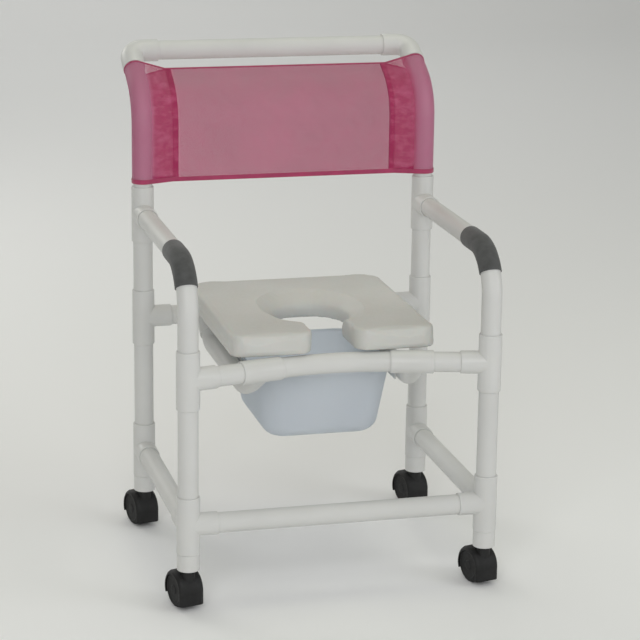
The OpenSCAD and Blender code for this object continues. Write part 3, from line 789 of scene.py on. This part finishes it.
def full_height(node):
    """A solid block over a CAD node's whole height, from the outline of its top."""
    low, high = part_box(node)
    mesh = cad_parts[node].data.copy()
    work = bmesh.new()
    work.from_mesh(mesh)
    bmesh.ops.remove_doubles(work, verts=work.verts, dist=1e-5)
    lower = [f for f in work.faces if f.calc_center_median().z < high.z - 1e-4]
    bmesh.ops.delete(work, geom=lower, context="FACES")
    sunk = bmesh.ops.extrude_face_region(work, geom=work.faces[:])
    moved = [v for v in sunk["geom"] if isinstance(v, bmesh.types.BMVert)]
    bmesh.ops.translate(work, vec=(0, 0, low.z - high.z), verts=moved)
    bmesh.ops.recalc_face_normals(work, faces=work.faces)
    work.to_mesh(mesh)
    work.free()
    return mesh


def make_cushion():
    """The pad with rounded edges, dished round its opening and a little swollen."""
    low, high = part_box("seat_pad")
    cushion = show("seat_cushion", full_height("seat_pad"), "seat", "seat_skin", replaced=["seat_pad"],
                   angle=None)
    voxels = cushion.modifiers.new("voxels", "REMESH")
    voxels.mode, voxels.voxel_size, voxels.use_smooth_shade = "VOXEL", 0.0045, True
    round_off = cushion.modifiers.new("round", "SMOOTH")
    round_off.factor, round_off.iterations = 0.5, 16
    bake(cushion)
    points = points_of(cushion.data)
    flat = points[:, 2] < low.z + UNDERSIDE
    points[flat, 2] = low.z
    set_points(cushion.data, dished(points, low, high))
    set_points(cushion.data, swollen(cushion.data, low))
    finer = cushion.modifiers.new("finer", "SUBSURF")
    finer.levels = finer.render_levels = 1
    bake(cushion)
    lowest = (low.x, low.y, low.z - COLLAR)
    set_points(cushion.data, np.clip(points_of(cushion.data), lowest, high))
    cushion.data.shade_smooth()


# ---- pail ----
PAIL_WALL, PAIL_PLATE, PAIL_BEAD = 0.0028, 0.003, 0.0022   # thicknesses, and the bead's radius
PAIL_DRAFT = math.tan(math.radians(9))
PAIL_LEDGE = 0.006         # how far the flange stands out from the wall
PAIL_CORNER = 0.050        # of the wall, seen from above
FLANGE_CORNER = 0.058
FOOT_INSET = 0.052


def rounded_ring(half_x, half_y, radius, z, steps=9):
    """A level ring: a rectangle with round corners."""
    ring = []
    for quarter, (sx, sy) in enumerate(((1, 1), (-1, 1), (-1, -1), (1, -1))):
        for i in range(steps + 1):
            a = math.pi / 2 * (quarter + i / steps)
            ring.append((sx * (half_x - radius) + radius * math.cos(a),
                         sy * (half_y - radius) + radius * math.sin(a), z))
    return ring


def make_pail():
    """One closed skin: foot ring, wall, flange with a round bead, and the inside."""
    low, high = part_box("pail")
    centre = middle("pail")
    flange_x, flange_y = (high.x - low.x) / 2, (high.y - low.y) / 2
    body_x, body_y = flange_x - PAIL_LEDGE, flange_y - PAIL_LEDGE
    deep, wall, foot, bead_r = high.z - low.z, PAIL_WALL, FOOT_INSET, PAIL_BEAD

    def wall_ring(depth, inset):
        """Ring of the wall at a depth under the flange's top, inset all round."""
        k = inset + depth * PAIL_DRAFT
        return rounded_ring(body_x - k, body_y - k, PAIL_CORNER - inset - depth * 0.03, high.z - depth)

    def bottom_rings(bottom, inset, radius):
        """The rounded corner between the wall and the bottom."""
        rings = []
        for i in range(7):
            a = math.pi / 2 * i / 6
            depth = bottom - radius * (1 - math.sin(a))
            rings.append(wall_ring(depth, inset + radius * (1 - math.cos(a))))
        return rings

    def bead_ring(angle):
        """The round edge of the flange at an angle up from its underside."""
        k, up = bead_r * (1 - math.sin(angle)), bead_r * (1 - math.cos(angle))
        return rounded_ring(flange_x - k, flange_y - k, FLANGE_CORNER, high.z - PAIL_PLATE + up)

    outside = [wall_ring(deep - 0.0022, foot), wall_ring(deep - 0.0018, foot - 0.006),
               wall_ring(deep, foot - 0.008), wall_ring(deep, foot - 0.013)]
    outside += bottom_rings(deep - 0.0004, 0, 0.026)[::-1]
    outside += [wall_ring(depth, 0) for depth in (0.100, 0.070, 0.040, 0.012)]
    outside += [wall_ring(0.0065, -0.0002), wall_ring(0.0042, -0.0012), wall_ring(PAIL_PLATE, -0.0034)]
    bead = [bead_ring(math.radians(angle)) for angle in (0, 30, 60, 90, 120, 150, 180, 215)]
    bead.append(rounded_ring(flange_x - 0.0042, flange_y - 0.0042, 0.056, high.z))
    inside = [wall_ring(0, wall - 0.0040), wall_ring(0.0006, wall - 0.0018), wall_ring(0.0024, wall - 0.0004)]
    inside += [wall_ring(depth, wall) for depth in (0.006, 0.040, 0.080, 0.110)]
    inside += bottom_rings(deep - wall, wall, 0.024)
    rings = outside + bead + inside
    points = [(x + centre.x, y + centre.y, z) for ring in rings for x, y, z in ring]
    n = len(rings[0])
    faces = grid_faces(len(rings), n, wrap=True)
    faces += [tuple(range(n))[::-1], tuple(range((len(rings) - 1) * n, len(rings) * n))]
    mesh = mesh_of("pail_skin", points, faces)
    outward(mesh)
    show("pail_skin", mesh, "pail", "pail_plastic", replaced=["pail"], angle=60)


# ---- the rest of the frame and the casters ----
TUBES = {
    "pvc_tube_x": ["push_bar", "front_lower_rail", "rear_seat_rail"],
    "pvc_tube_y": ["side_lower_rail_left", "side_lower_rail_right"],
    "pvc_tube_z": ["rear_mid_posts"]
    + [f"{end}_lower_leg_{side}" for end in ("front", "rear") for side, _ in SIDES],
    "pvc_tube": ["front_seat_rail", "seat_rail_stubs"]
    + [f"{stem}_{side}" for stem in ("arm_tube", "back_post", "pail_rail") for side, _ in SIDES],
}
FITTINGS = ["push_bar_elbows", "front_rail_tees", "rear_rail_tees"] + [
    f"{stem}_{side}" for side, _ in SIDES
    for stem in ("arm_tee", "front_seat_tee", "rear_seat_tee", "front_lower_fitting", "rear_lower_fitting")]


def dress(node, material):
    """Gives a CAD node that stays its own material."""
    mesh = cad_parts[node].data
    mesh.materials.clear()
    mesh.materials.append(MATERIALS[material])


def make_frame():
    """Tubes keep their CAD shape; moulded parts get rounded edges."""
    for material, nodes in TUBES.items():
        for node in nodes:
            dress(node, material)
    for node in FITTINGS:
        rounded_copy(node, "frame", "pvc_fitting", 0.0012)
    for side, _ in SIDES:
        rounded_copy(f"grip_{side}", "frame", "grip_foam", 0.0013)
    rounded_copy("caster_bushings", "frame", "pvc_fitting", 0.0008)
    rounded_copy("pail_runners", "frame", "runner_plastic", 0.0008)
    rounded_copy("hinge_clips", "seat", "clip_plastic", 0.0007)
    rounded_copy("seat_board", "seat", "seat_board", 0.0012)
    dress("runner_screws", "screw_steel")
    dress("hinge_screws", "screw_steel")
    dress("caster_stems", "stem_steel")


def make_casters():
    for corner in CORNERS:
        rounded_copy(f"caster_hood_{corner}", f"caster_{corner}", "caster_plastic", 0.0009)
        dress(f"caster_axle_{corner}", "stem_steel")
        for place in ("inner", "outer"):
            node = f"{place}_wheel_{corner}"
            rounded_copy(node, f"{node}_body", "wheel_tread", 0.0009)


make_camera()
make_lights()
make_floor()
make_frame()
make_casters()
make_pail()
make_cushion()
make_sling()
